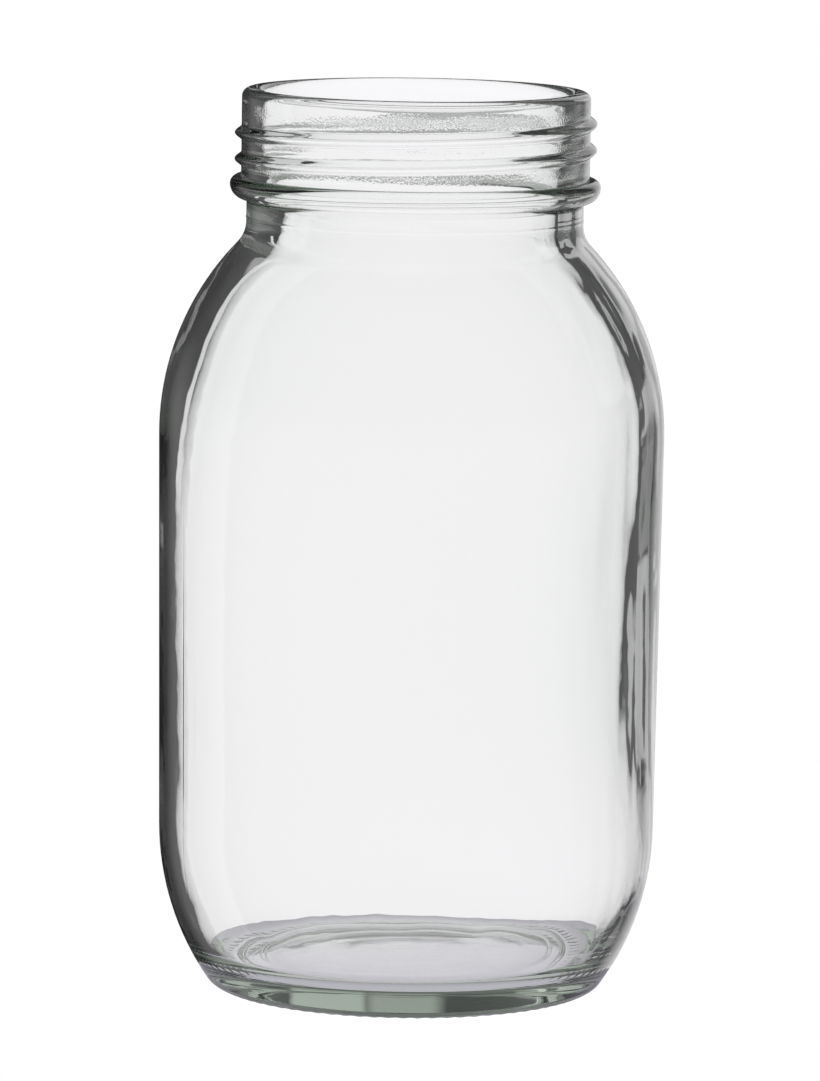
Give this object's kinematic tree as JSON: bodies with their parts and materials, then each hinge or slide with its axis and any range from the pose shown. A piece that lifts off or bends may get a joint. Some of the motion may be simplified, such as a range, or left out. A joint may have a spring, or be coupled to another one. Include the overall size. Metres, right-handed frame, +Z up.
{
  "type": "canning jar",
  "caption": "Clear glass canning jar with a smooth round body, curved shoulder, narrow neck and an open, threaded mouth for a screw lid.",
  "frame": {"origin": "on the table under the jar's axis, at the centre of the bearing ring", "axes": "+Z up along the jar's axis to the mouth, -Y to the jar's front, +X to the right seen from the front"},
  "size_m": [0.098, 0.098, 0.1754],
  "materials": {
    "clear_glass": "clear fire-polished soda-lime glass with a faint green tint"
  },
  "bodies": {
    "root": {"glass_jar": "clear_glass"}
  },
  "joints": []
}
